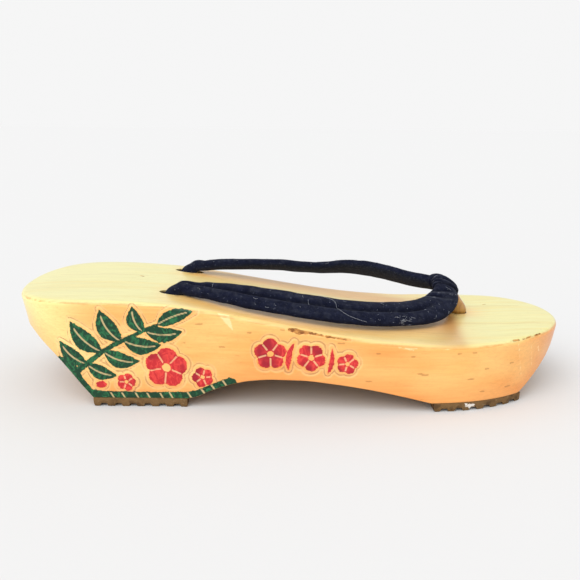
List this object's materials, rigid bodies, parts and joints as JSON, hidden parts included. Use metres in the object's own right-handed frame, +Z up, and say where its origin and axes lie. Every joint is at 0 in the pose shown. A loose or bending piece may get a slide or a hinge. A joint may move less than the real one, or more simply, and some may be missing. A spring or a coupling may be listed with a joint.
{
  "type": "geta sandal",
  "caption": "Right-foot geta sandal: carved wooden sole with an arch, ribbed rubber treads, and padded velvet straps tied down over a toe post.",
  "frame": {"origin": "on the floor, under the middle of the sole's outline box", "axes": "+X from heel to toe, +Y to the inner side of the foot, +Z up"},
  "size_m": [0.24, 0.0924, 0.0495],
  "materials": {
    "wood": "varnished pale softwood, painted in green and red in carved outlines on the outer side",
    "velvet": "navy velvet pile with a dark grey woven lining underneath",
    "post_plastic": "smooth tan plastic tube",
    "rubber": "matt brown moulded rubber"
  },
  "bodies": {
    "root": {"sole": "wood", "straps": "velvet", "toe_loop": "velvet", "toe_post": "post_plastic", "heel_tread": "rubber", "forefoot_tread": "rubber"}
  },
  "joints": []
}
